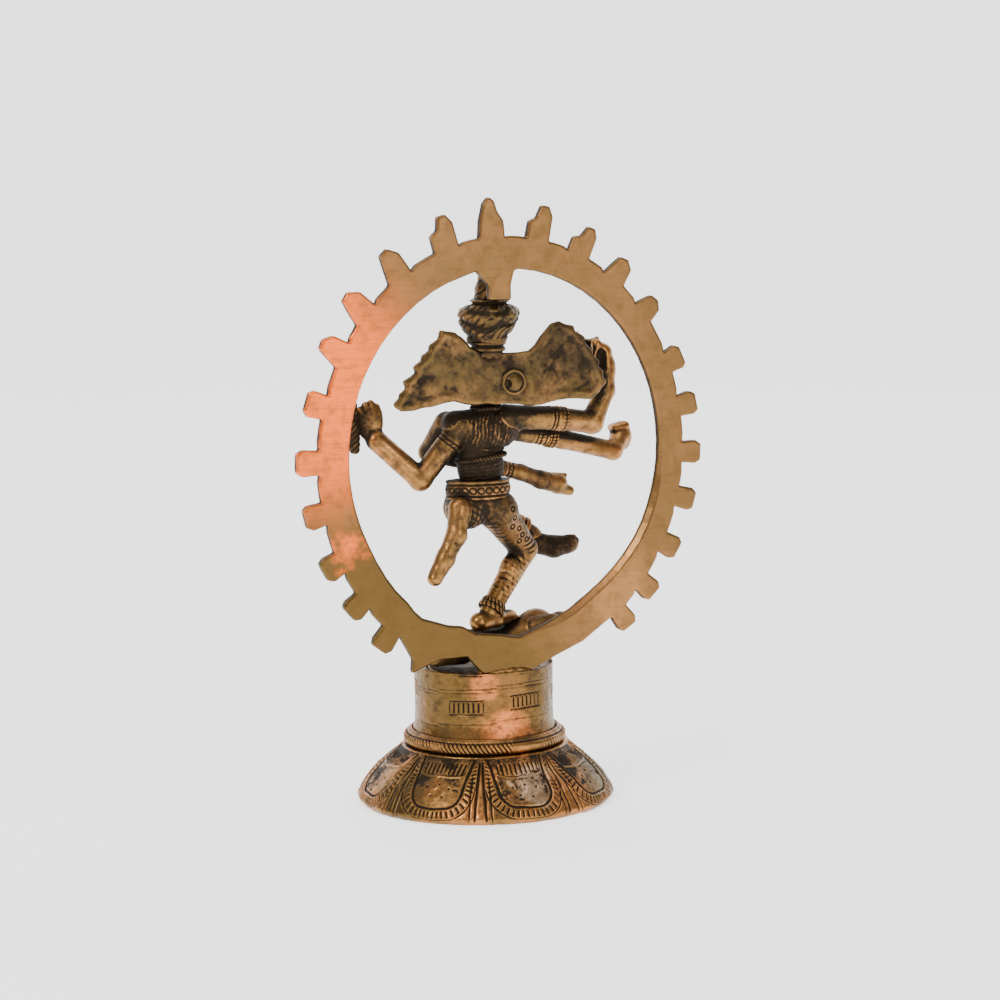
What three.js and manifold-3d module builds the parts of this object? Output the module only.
// Brass nataraja: a dancing four-armed figure on a reclining dwarf, on a lotus pedestal, inside a ring of flames.
// Millimetres, +Z up. The origin is on the pedestal's axis at the height of the surface that it stands on.
// The figure faces -Y, so its left hand is towards +X. Every piece is cast brass, brazed to its neighbours.

import * as THREE from 'three';
import { mergeVertices } from 'three/addons/utils/BufferGeometryUtils.js';
import Module from 'manifold-3d';

const wasm = await Module();
wasm.setup();

// Driving dimensions

const GAP = 0.3; // clearance left between neighbouring castings
const BASE_RADIUS = 28.9;
const BASE_HEIGHT = 12.8;
const WALL = 2.8;
const COLLAR_RADIUS = 18.3;
const COLLAR_HEIGHT = 3.3;
const DRUM_RADIUS = 15.6;
const DRUM_TOP = 30.2;
const PLATE_THICKNESS = 2.6;
const ROUND_STEPS = 36; // sides of the turned pieces
const RINGS_PER_SPAN = 4; // rings between two joints of a limb

const RING_BACK_Y = 14.3;
const RING_THICKNESS = 2.3;
const RING_HOLE = { x: -0.8, z: 79.4, across: 36.0, high: 39.8, lean: 3.5 };
const RING_ROOT = { x: -0.9, z: 78.7, across: 42.5, high: 47.6, lean: 4.8 };
const TAB = { x: -0.4, width: 5.0, bottom: 112.5, flare: 2.8 };

const BELT = { x: 2.0, y: 4.0, bottom: 68.4, top: 72.6, halfWidth: 7.5, halfDepth: 5.4 };
const FAN_BACK_Y = 10.4;
const FAN_THICKNESS = 1.7;
const CROWN = { x: 0.1, y: 8.0, bottom: 101.4, top: 112.1, finial: 119.0 };
const SOLE = 38.8; // height of the standing foot's sole

// Joints of the body, [x, y, z]

const RIGHT_HIP = [-3.0, 3.4, 64.0];
const RIGHT_KNEE = [-10.6, -1.0, 55.6];
const RIGHT_ANKLE = [-0.9, 3.2, 43.2];
const LEFT_HIP = [4.6, 0.5, 66.0];
const LEFT_KNEE = [0.6, -12.0, 67.2];
const LEFT_ANKLE = [-16.2, -11.0, 57.4];
const CHEST = [-0.1, 4.0, 84.2];
const HEAD = [-0.4, 3.4, 95.6];

// Materials

const brass = (colour, roughness) => new THREE.MeshStandardMaterial({ color: colour, roughness, metalness: 1 });
const CAST = brass(0xa8854f, 0.42);
const BURNISHED = brass(0xc08f62, 0.36);
const DARKENED = brass(0x7a6038, 0.5);

// Solids

function solid(geometry) {
  const source = geometry.clone();
  source.deleteAttribute('normal');
  source.deleteAttribute('uv');
  const merged = mergeVertices(source, 1e-4);
  const corners = merged.index.array;
  const faces = [];
  for (let i = 0; i < corners.length; i += 3) {
    const [a, b, c] = [corners[i], corners[i + 1], corners[i + 2]];
    if (a !== b && b !== c && c !== a) faces.push(a, b, c);
  }
  const build = (order) => new wasm.Manifold(new wasm.Mesh({
    numProp: 3,
    vertProperties: new Float32Array(merged.attributes.position.array),
    triVerts: new Uint32Array(order),
  }));
  const made = build(faces);
  return made.volume() > 0 ? made : build(faces.reverse());
}

// A round piece turned about the Z axis; the outline is a closed list of [radius, height].
function turned(outline, sides = ROUND_STEPS) {
  const points = outline.map(([radius, height]) => new THREE.Vector2(radius, height));
  if (outline[0][0] > 0) points.push(points[0].clone());
  return new THREE.LatheGeometry(points, sides).rotateX(Math.PI / 2);
}

// An oval stack: sections are [height, half width, half depth], closed at both ends and leaning with height.
function oval(sections, foot, lean = [0, 0], sides = 16) {
  const ratio = sections[0][2] / sections[0][1];
  const outline = [[0, sections[0][0]], ...sections.map(([height, half]) => [half, height])];
  outline.push([0, sections.at(-1)[0]]);
  const z0 = sections[0][0];
  const shear = new THREE.Matrix4().set(
    1, 0, lean[0], foot[0] - lean[0] * z0,
    0, ratio, lean[1], foot[1] - lean[1] * z0,
    0, 0, 1, 0,
    0, 0, 0, 1,
  );
  return turned(outline, sides).applyMatrix4(shear);
}

function ball(centre, radii, turn = [0, 0, 0], sides = 12) {
  const geometry = new THREE.SphereGeometry(1, sides, Math.round(sides * 0.6));
  geometry.rotateX(Math.PI / 2).scale(...radii);
  geometry.applyMatrix4(new THREE.Matrix4().makeRotationFromEuler(new THREE.Euler(...turn)));
  return solid(geometry.translate(...centre));
}

// A limb: a round tube through its joints with a radius at each, domed at both ends, all grown by the same amount.
// It bends a cylinder whose rows of corners become the limb's rings.
function limb(joints, radii, grow = 0, sides = 8) {
  const spans = joints.length - 1;
  const places = joints.map((joint) => new THREE.Vector3(...joint));
  const curve = new THREE.CatmullRomCurve3(places, false, 'centripetal');
  const rings = [];
  for (let step = 0; step <= spans * RINGS_PER_SPAN; step += 1) {
    const share = step / (spans * RINGS_PER_SPAN);
    const span = Math.min(Math.floor(share * spans), spans - 1);
    const radius = THREE.MathUtils.lerp(radii[span], radii[span + 1], share * spans - span) + grow;
    rings.push({ centre: curve.getPoint(share), along: curve.getTangent(share), radius });
  }
  const domed = ({ centre, along, radius }, way) => (
    { centre: centre.clone().addScaledVector(along, way * 0.75 * radius), along, radius: 0.6 * radius });
  rings.unshift(domed(rings[0], -1));
  rings.push(domed(rings.at(-1), 1));
  const reach = new THREE.Vector3(...joints.at(-1)).sub(new THREE.Vector3(...joints[0])).toArray().map(Math.abs);
  const aside = new THREE.Vector3().setComponent(reach.indexOf(Math.min(...reach)), 1);
  const tube = new THREE.CylinderGeometry(1, 1, 1, sides, rings.length - 1);
  const corners = tube.attributes.position;
  for (let i = 0; i < corners.count; i += 1) {
    const { centre, along, radius } = rings[Math.round((0.5 - corners.getY(i)) * (rings.length - 1))];
    const across = aside.clone().addScaledVector(along, -aside.dot(along)).normalize();
    const third = along.clone().cross(across);
    const corner = centre.clone().addScaledVector(across, corners.getX(i) * radius);
    corners.setXYZ(i, ...corner.addScaledVector(third, corners.getZ(i) * radius).toArray());
  }
  return solid(tube);
}

// A band round a limb: a short collar about the line between two joints, at a fraction of the way along it.
function band(from, to, at, radius, length, bore) {
  const start = new THREE.Vector3(...from);
  const along = new THREE.Vector3(...to).sub(start);
  const place = start.clone().addScaledVector(along, at);
  const outline = [
    [bore, -length / 2], [radius * 0.94, -length / 2], [radius, -length / 6],
    [radius, length / 6], [radius * 0.94, length / 2], [bore, length / 2],
  ];
  const turn = new THREE.Quaternion().setFromUnitVectors(new THREE.Vector3(0, 0, 1), along.normalize());
  return turned(outline, 16).applyQuaternion(turn).translate(...place.toArray());
}

// A flat plate: a shape drawn in X and Z, with its back face at y = back.
function plate(shape, back, thickness, curveSegments = 4) {
  const geometry = new THREE.ExtrudeGeometry(shape, { depth: thickness, bevelEnabled: false, curveSegments });
  return geometry.rotateX(Math.PI / 2).translate(0, back, 0);
}

function box([x0, y0, z0], [x1, y1, z1]) {
  const geometry = new THREE.BoxGeometry(x1 - x0, y1 - y0, z1 - z0);
  return geometry.translate((x0 + x1) / 2, (y0 + y1) / 2, (z0 + z1) / 2);
}

const group = new THREE.Group();

function add(name, shape, material) {
  let geometry = shape;
  if (!shape.isBufferGeometry) {
    const mesh = shape.getMesh();
    geometry = new THREE.BufferGeometry();
    geometry.setAttribute('position', new THREE.BufferAttribute(new Float32Array(mesh.vertProperties), 3));
    geometry.setIndex(new THREE.BufferAttribute(new Uint32Array(mesh.triVerts), 1));
    geometry.computeVertexNormals();
  }
  const piece = new THREE.Mesh(geometry, material);
  piece.name = name;
  group.add(piece);
}

// Pedestal

// The lotus base is an open bell: a convex skirt with a tucked rim, hollow underneath.
const skirtTop = COLLAR_RADIUS + 0.3;
const skirt = [
  [BASE_RADIUS - 0.9, 0], [BASE_RADIUS, 1.2], [BASE_RADIUS - 0.6, 2.6], [BASE_RADIUS - 2.1, 5.0],
  [BASE_RADIUS - 4.3, 7.6], [BASE_RADIUS - 6.8, 9.9], [BASE_RADIUS - 9.0, 11.7], [skirtTop, BASE_HEIGHT],
];
const bore = DRUM_RADIUS - WALL;
const hollow = [
  [bore, BASE_HEIGHT], [bore, BASE_HEIGHT - WALL], [BASE_RADIUS - 10.4, 8.8], [BASE_RADIUS - 6.6, 6.0],
  [BASE_RADIUS - 4.4, 3.0], [BASE_RADIUS - 3.6, 0],
];
add('lotus_base', solid(turned([...skirt, ...hollow])), CAST);

const collarBottom = BASE_HEIGHT + GAP;
const collarTop = collarBottom + COLLAR_HEIGHT;
const collarBore = DRUM_RADIUS + GAP;
add('beaded_collar', solid(turned([
  [COLLAR_RADIUS - 0.7, collarBottom], [COLLAR_RADIUS, collarBottom + 0.9],
  [COLLAR_RADIUS - 0.1, collarBottom + 1.7], [COLLAR_RADIUS - 1.0, collarBottom + 2.7], [COLLAR_RADIUS - 1.8, collarTop],
  [collarBore, collarTop], [collarBore, collarBottom],
])), CAST);

add('pedestal_drum', solid(turned([
  [DRUM_RADIUS, collarBottom], [DRUM_RADIUS, DRUM_TOP - 0.5], [DRUM_RADIUS - 0.5, DRUM_TOP],
  [bore, DRUM_TOP], [bore, collarBottom],
])), BURNISHED);

add('drum_top_plate', solid(turned([
  [0, DRUM_TOP - PLATE_THICKNESS], [bore - GAP, DRUM_TOP - PLATE_THICKNESS], [bore - GAP, DRUM_TOP], [0, DRUM_TOP],
])), DARKENED);

// Ring of flames

const radians = THREE.MathUtils.degToRad;

// The point of a leaning ellipse at a bearing counted from the top, positive towards +X.
function onEllipse(ellipse, bearing, outside = 0) {
  const turn = bearing + radians(ellipse.lean);
  const radius = 1 / Math.hypot(Math.cos(turn) / ellipse.high, Math.sin(turn) / ellipse.across) + outside;
  return new THREE.Vector2(ellipse.x + radius * Math.sin(bearing), ellipse.z + radius * Math.cos(bearing));
}

// Flame outlines in [along the rim, outwards], as fractions of half width and height.
const FLAME = {
  tall: [[-1, 0], [-0.94, 0.4], [-0.52, 0.62], [-0.3, 0.9], [0.1, 1], [0.5, 0.86], [0.86, 0.42], [1, 0]],
  stepped: [[-1, 0], [-1, 0.72], [-0.6, 1], [0.05, 1], [0.35, 0.62], [0.95, 0.5], [1, 0]],
  hooked: [[-1, 0], [-0.86, 0.7], [-0.2, 1], [0.5, 0.92], [0.75, 0.5], [1, 0]],
  lug: [[-0.9, 0], [-1, 0.7], [-0.74, 0.98], [0.66, 1], [1, 0.72], [0.9, 0]],
};

// The flames are cut by hand, so they aren't quite evenly spaced: [bearing, height, half width, outline].
const FLAMES = [
  [-144, 4.6, 2.5, 'lug'], [-133.1, 4.4, 2.6, 'lug'], [-119.8, 4.4, 2.7, 'lug'], [-105.5, 4.6, 2.6, 'lug'],
  [-92, 4.6, 2.6, 'lug'], [-78, 4.4, 2.7, 'lug'], [-64.5, 3.8, 2.8, 'lug'], [-48.5, 4.4, 2.8, 'hooked'],
  [-35.8, 5.3, 2.8, 'hooked'], [-23.5, 6.5, 2.7, 'stepped'], [-11, 7.5, 2.7, 'stepped'], [2.6, 8.8, 3.0, 'tall'],
  [16.2, 6.9, 2.9, 'stepped'], [31.1, 6.3, 2.9, 'hooked'], [44.7, 5.8, 3.0, 'hooked'], [58, 4.9, 3.0, 'hooked'],
  [73.3, 4.3, 2.9, 'lug'], [89.5, 5.1, 2.9, 'lug'], [104.3, 4.5, 2.8, 'lug'], [119.2, 4.2, 2.8, 'lug'],
  [132, 4.2, 2.7, 'lug'], [143.9, 4.8, 2.6, 'lug'],
];

function ringOutline() {
  const points = [];
  FLAMES.forEach(([degrees, height, halfWidth, outline], i) => {
    const bearing = radians(degrees);
    const out = new THREE.Vector2(Math.sin(bearing), Math.cos(bearing));
    const along = new THREE.Vector2(out.y, -out.x);
    const root = onEllipse(RING_ROOT, bearing, -0.3);
    for (const [u, v] of FLAME[outline]) {
      points.push(root.clone().addScaledVector(along, u * halfWidth).addScaledVector(out, v * height));
    }
    if (i === FLAMES.length - 1) return;
    const rim = Math.hypot(root.x - RING_ROOT.x, root.y - RING_ROOT.z);
    const start = degrees + THREE.MathUtils.radToDeg(halfWidth / rim);
    const end = FLAMES[i + 1][0] - THREE.MathUtils.radToDeg(FLAMES[i + 1][2] / rim);
    for (const share of [0.25, 0.75]) points.push(onEllipse(RING_ROOT, radians(start + (end - start) * share)));
  });
  // The ring's foot: two corners that hang beside the pedestal, and a straight bar that stands on its rim.
  const foot = [[21.3, 35.2], [21.5, 32.2], [18.5, 33.4], [15.2, 34.6], [8.6, 34.8], [5.0, DRUM_TOP + GAP],
    [-6.0, DRUM_TOP + GAP], [-12.0, 33.4], [-18.6, 36.2]];
  points.push(...foot.map(([x, z]) => new THREE.Vector2(x, z)));
  return points;
}

// The hole's foot is filed by hand, so it isn't part of the ellipse; its corners go from +X to -X.
const HOLE_FOOT = [
  [20.5, 45.7], [18.7, 44.0], [15.0, 42.8], [12.6, 42.0], [9.4, 41.6], [6.6, 39.9], [1.0, 39.2],
  [-3.8, 38.3], [-10.9, 41.0], [-15.7, 43.4],
];

function ringHole() {
  const points = [];
  const tabHalf = TAB.width / 2;
  const steps = 60;
  for (let step = 0; step < steps; step += 1) {
    const point = onEllipse(RING_HOLE, (Math.PI * 2 * step) / steps + 0.02);
    if (step === steps / 2) points.push(...HOLE_FOOT.map(([x, z]) => new THREE.Vector2(x, z)));
    if (point.y < 46 && point.x > -18 && point.x < 22) continue;
    const beside = point.x - TAB.x;
    if (beside > -tabHalf - 0.8 && beside < tabHalf + TAB.flare && point.y > RING_HOLE.z) continue;
    point.x += THREE.MathUtils.smoothstep(62 - point.y, 0, 20) * 1.5 - 0.6;
    points.push(point);
  }
  const top = RING_HOLE.z + RING_HOLE.high - 0.5;
  const tab = [[-tabHalf - 0.8, top], [-tabHalf, top - 3], [-tabHalf, TAB.bottom],
    [tabHalf, TAB.bottom], [tabHalf + 0.2, top - 3], [tabHalf + TAB.flare, top]];
  points.push(...tab.map(([x, z]) => new THREE.Vector2(TAB.x + x, z)));
  return new THREE.Path(points.reverse());
}

const ringShape = new THREE.Shape(ringOutline());
ringShape.holes.push(ringHole());
add('flame_ring', solid(plate(ringShape, RING_BACK_Y, RING_THICKNESS)), BURNISHED);

// Brazing metal that fills the corner between the ring's foot and the pedestal's top.
const filletFront = RING_BACK_Y - RING_THICKNESS - GAP;
const filletRod = new THREE.CylinderGeometry(1.5, 1.5, 9, 8).rotateZ(Math.PI / 2);
const fillet = solid(filletRod.translate(-0.5, filletFront - 0.4, DRUM_TOP + 0.3))
  .intersect(solid(box([-8, 0, DRUM_TOP + GAP], [8, filletFront, DRUM_TOP + 4])));
add('braze_fillet', fillet, DARKENED);

// The dwarf lies along X with his head beyond the pedestal's edge.

const dwarfSpine = [[5.4, 1.0, 35.0], [-5.0, 0.4, 34.2], [-13.0, -0.5, 37.0]];
const dwarfTrunk = (grow) => limb(dwarfSpine, [3.5, 3.5, 4.6], grow);
const dwarfSkull = (grow) => ball([-19.4, -1.8, 37.2], [3.0 + grow, 3.2 + grow, 3.3 + grow]);
add('dwarf_body', dwarfTrunk(0), DARKENED);
add('dwarf_head', dwarfSkull(0).subtract(dwarfTrunk(GAP)), DARKENED);
const dwarfLimbs = {
  dwarf_left_leg: [[[6.6, -1.0, 33.4], [12.2, -3.8, 33.6], [9.2, -8.8, 32.6]], [2.2, 1.9, 1.5]],
  dwarf_right_leg: [[[6.0, 3.4, 33.2], [12.6, 4.8, 33.4], [12.0, 0.6, 32.8]], [2.1, 1.8, 1.4]],
  dwarf_left_arm: [[[-12.6, -3.8, 36.6], [-16.0, -8.2, 34.8], [-21.0, -7.0, 35.8]], [1.9, 1.6, 1.3]],
  dwarf_right_arm: [[[-11.6, 3.0, 38.4], [-15.0, 4.6, 39.6], [-19.4, 3.2, 38.4]], [1.9, 1.6, 1.3]],
};
for (const [name, [joints, radii]] of Object.entries(dwarfLimbs)) {
  let dwarfLimb = limb(joints, radii).subtract(dwarfTrunk(GAP)).subtract(dwarfSkull(GAP));
  if (name === 'dwarf_right_leg') dwarfLimb = dwarfLimb.subtract(limb(...dwarfLimbs.dwarf_left_leg, GAP));
  add(name, dwarfLimb, DARKENED);
}

// Hips, belt and legs

const hipLean = [0.02, 0];
const hips = (grow) => solid(oval([
  [60.8 - grow, 3.2 + grow, 2.4 + grow], [62.4 - grow, 5.8 + grow], [65.4, 7.6 + grow],
  [BELT.bottom - GAP + grow, 7.5 + grow],
], [1.2, BELT.y], hipLean));
add('hips', hips(0), CAST);

const belt = (grow) => solid(oval([
  [BELT.bottom - grow, BELT.halfWidth - 0.7 + grow, BELT.halfDepth - 0.5 + grow],
  [BELT.bottom + 0.8, BELT.halfWidth + grow], [BELT.top - 0.8, BELT.halfWidth - 0.1 + grow],
  [BELT.top + grow, BELT.halfWidth - 0.9 + grow],
], [BELT.x, BELT.y], [-0.05, 0], 24));
add('waist_belt', belt(0), DARKENED);

const standingLeg = (grow) => limb([RIGHT_HIP, RIGHT_KNEE, RIGHT_ANKLE], [4.1, 3.2, 2.3], grow);
add('standing_leg', standingLeg(0).subtract(hips(GAP)), CAST);
const footJoints = [[2.4, 4.8, SOLE + 1.9], [-3.6, 1.6, SOLE + 1.7], [-8.4, -1.4, SOLE + 1.7]];
const standingFoot = limb(footJoints, [2.1, 1.9, 1.4])
  .intersect(solid(box([-12, -8, SOLE], [8, 10, SOLE + 4])));
add('standing_foot', standingFoot.subtract(standingLeg(GAP)).subtract(dwarfTrunk(GAP)), CAST);
add('standing_anklet', solid(band(RIGHT_KNEE, RIGHT_ANKLE, 0.93, 3.5, 1.4, 2.8)).subtract(standingFoot), CAST);

const raisedLeg = (grow) => limb([LEFT_HIP, LEFT_KNEE, LEFT_ANKLE], [4.2, 3.1, 2.2], grow);
add('raised_leg', raisedLeg(0).subtract(hips(GAP)).subtract(belt(GAP)).subtract(standingLeg(GAP)), CAST);
const raisedFoot = limb([[-17.4, -10.8, 55.8], [-21.5, -10.2, 54.9], [-25.4, -9.4, 55.3]], [2.4, 2.4, 1.9]);
add('raised_foot', raisedFoot.subtract(raisedLeg(GAP)), CAST);
add('raised_anklet', solid(band(LEFT_KNEE, LEFT_ANKLE, 0.84, 3.4, 1.5, 2.8)).subtract(raisedFoot), CAST);

// The sash hangs from the belt at the figure's left, with a round end.
const sash = limb([[8.0, 8.4, 66.8], [9.8, 9.2, 60.0], [14.0, 9.4, 52.2]], [2.3, 2.2, 1.7]);
add('sash_tail', sash.subtract(hips(GAP)).subtract(belt(GAP)), CAST);

// Torso, cord and necklace

const torsoSections = (grow) => [
  [BELT.top + GAP, 5.3 + grow, 3.9 + grow], [77.0, 5.5 + grow], [81.0, 6.7 + grow], [84.6, 7.6 + grow],
  [86.8, 6.4 + grow], [88.2, 3.6 + grow],
];
const torso = (grow) => solid(oval(torsoSections(grow), [1.4, BELT.y], [-0.11, 0]));
add('torso', torso(0), CAST);
const cordBand = solid(oval([[76.4, 6.0, 4.5], [76.9, 6.5], [78.3, 6.7], [78.8, 6.4]], [1.0, BELT.y], [-0.11, 0]));
const throat = oval([[88.5, 2.7, 2.6], [89.2, 3.3], [90.2, 3.2], [90.9, 2.4]], [-0.3, BELT.y]);
add('necklace', solid(throat), CAST);

// Head, crown and hair

const headRoom = (grow) => solid(box(
  [-9, -9, 91.2 - grow],
  [9, FAN_BACK_Y - FAN_THICKNESS - GAP + grow, CROWN.bottom - GAP + grow],
));
const skull = (grow) => ball(HEAD, [4.1 + grow, 4.6 + grow, 5.0 + grow], [0, 0, 0], 16).intersect(headRoom(grow));
add('head', skull(0), CAST);
for (const [name, side] of [['left_earring', 1], ['right_earring', -1]]) {
  const ring = new THREE.TorusGeometry(1.5, 0.5, 6, 12).rotateY(radians(70));
  add(name, solid(ring.translate(HEAD[0] + side * 5.1, HEAD[1], 92.6)).subtract(skull(GAP)), CAST);
}

// The crown is a swelling topknot with a banded neck; its finial stands in front of the ring's tab.
const crownLift = CROWN.bottom + 1.9;
add('crown', solid(turned([
  [0, crownLift], [3.6, crownLift], [4.9, 104.6], [6.3, 107.0], [6.4, 109.2], [5.1, 110.6], [4.8, 111.4],
  [4.6, CROWN.top], [3.1, CROWN.top + 0.5], [2.9, 115.8], [2.0, CROWN.finial - 0.4], [0, CROWN.finial],
], 20).translate(CROWN.x, CROWN.y, 0)), DARKENED);
add('crown_band', solid(turned([
  [0, CROWN.bottom], [3.5, CROWN.bottom], [3.9, CROWN.bottom + 0.5], [3.9, CROWN.bottom + 1.1],
  [3.4, crownLift - GAP], [0, crownLift - GAP],
], 20).translate(CROWN.x + 0.2, CROWN.y - 1.2, 0)), DARKENED);

// The hair flies out to both sides as one bow-tie plate, held by a peened boss.
const HAIR = [
  [-10.9, 89.2], [-14.5, 89.9], [-17.6, 90.6], [-22.8, 90.1], [-25.3, 91.2], [-26.2, 93.8], [-24.8, 98.4],
  [-21.3, 103.3], [-17.7, 106.4], [-15.5, 107.4], [-13.5, 106.8], [-11.5, 104.4], [-8.4, 100.8], [-1.0, 100.6],
  [3.5, 101.1], [7.3, 104.2], [8.9, 105.7], [11.9, 106.0], [15.7, 101.4], [18.6, 97.7], [21.0, 94.2],
  [22.9, 90.0], [21.9, 88.3], [16.2, 89.0], [9.2, 90.4], [0.8, 89.4],
];
const hair = new THREE.Shape(HAIR.map(([x, z]) => new THREE.Vector2(x, z)));
const hairPlate = solid(plate(hair, FAN_BACK_Y, FAN_THICKNESS));
add('hair_fan', hairPlate, DARKENED);
add('hair_rivet', solid(new THREE.CylinderGeometry(1.9, 2.6, 0.8, 16)
  .translate(-4.6, FAN_BACK_Y + GAP + 0.4, 94.2)), CAST);

// Arms: each is cut back to the chest, and its band sits on the upper arm.

const rearRight = [
  [-4.6, 5.4, 86.0], [-16.0, 4.8, 85.2], [-25.8, 3.8, 83.9], [-29.2, 3.6, 90.8], [-28.6, 4.0, 98.6],
];
const rearRightRadii = [2.7, 2.5, 2.3, 2.1, 1.9];
const frontRight = [[-5.6, 1.6, 83.0], [-20.0, 0.0, 79.8], [-33.2, -2.2, 76.4], [-36.6, -5.2, 79.8]];
const frontRightRadii = [2.3, 2.1, 2.1, 2.0];
const rearLeft = [[6.2, 5.0, 84.2], [14.8, 2.4, 73.0], [24.4, 0.4, 82.4]];
const rearLeftRadii = [2.5, 2.4, 2.3];
const frontLeft = [[7.6, 0.6, 84.6], [10.0, -5.4, 78.2], [-13.3, -9.6, 72.0], [-19.0, -10.4, 69.7]];
const frontLeftRadii = [2.8, 2.2, 1.8, 2.0];

const chestRoom = torso(GAP);
const rearRightArm = (grow) => limb(rearRight, rearRightRadii, grow);
const rearLeftArm = (grow) => limb(rearLeft, rearLeftRadii, grow);
const rearLeftHand = (grow) => ball([25.5, 0.2, 86.4], [2.8 + grow, 1.6 + grow, 4.5 + grow]);

const hairRoom = solid(box([-40, FAN_BACK_Y - FAN_THICKNESS - GAP, 80], [40, 20, 110]));
add('rear_right_arm', rearRightArm(0).subtract(chestRoom).subtract(hairRoom), CAST);
add('front_right_arm', limb(frontRight, frontRightRadii).add(ball([-36.7, -5.6, 80.0], [2.4, 2.2, 3.1]))
  .subtract(chestRoom).subtract(rearRightArm(GAP)), CAST);
add('rear_left_arm', rearLeftArm(0).add(rearLeftHand(0)).subtract(chestRoom), CAST);
const crossingHand = limb([[-19.0, -10.4, 69.7], [-23.0, -11.0, 68.7], [-25.8, -11.2, 67.4]], [2.0, 2.2, 1.5]);
add('front_left_arm', limb(frontLeft, frontLeftRadii).add(crossingHand)
  .subtract(chestRoom).subtract(rearLeftArm(GAP)), CAST);

add('chest_cord', cordBand.subtract(chestRoom).subtract(rearLeftArm(GAP)), DARKENED);

const frontRightArm = (grow) => limb(frontRight, frontRightRadii, grow);
const frontLeftArm = (grow) => limb(frontLeft, frontLeftRadii, grow);
const armbands = [
  ['rear_right_armband', rearRight, 1, 2, 0.15, 3.0, 2.8, rearRightArm, frontRightArm],
  ['front_right_armband', frontRight, 1, 2, -0.2, 2.65, 2.4, frontRightArm, rearRightArm],
  ['rear_left_armband', rearLeft, 0, 1, 0.6, 2.9, 2.0, rearLeftArm, frontLeftArm],
];
for (const [name, joints, from, to, at, radius, length, arm, neighbour] of armbands) {
  const ring = solid(band(joints[from], joints[to], at, radius, length, radius - 1.2));
  add(name, ring.subtract(arm(GAP)).subtract(neighbour(GAP)), CAST);
}

// What the rear hands hold: a flame on the left, an hourglass drum on the right.
const flameTongue = solid(turned([[0, 79.8], [1.5, 80.2], [2.0, 83.0], [1.7, 86.8], [0, 91.0]], 10)
  .translate(29.2, 0.0, 0));
add('hand_flame', flameTongue.subtract(rearLeftHand(GAP)).subtract(rearLeftArm(GAP)), DARKENED);
const drumOutline = [[0, -2.6], [2.0, -2.6], [2.1, -2.1], [0.9, 0], [2.1, 2.1], [2.0, 2.6], [0, 2.6]];
const damaru = solid(turned(drumOutline, 14).rotateY(radians(75)).translate(-26.0, -0.4, 101.6));
add('damaru', damaru.subtract(rearRightArm(GAP)), CAST);

export default group;
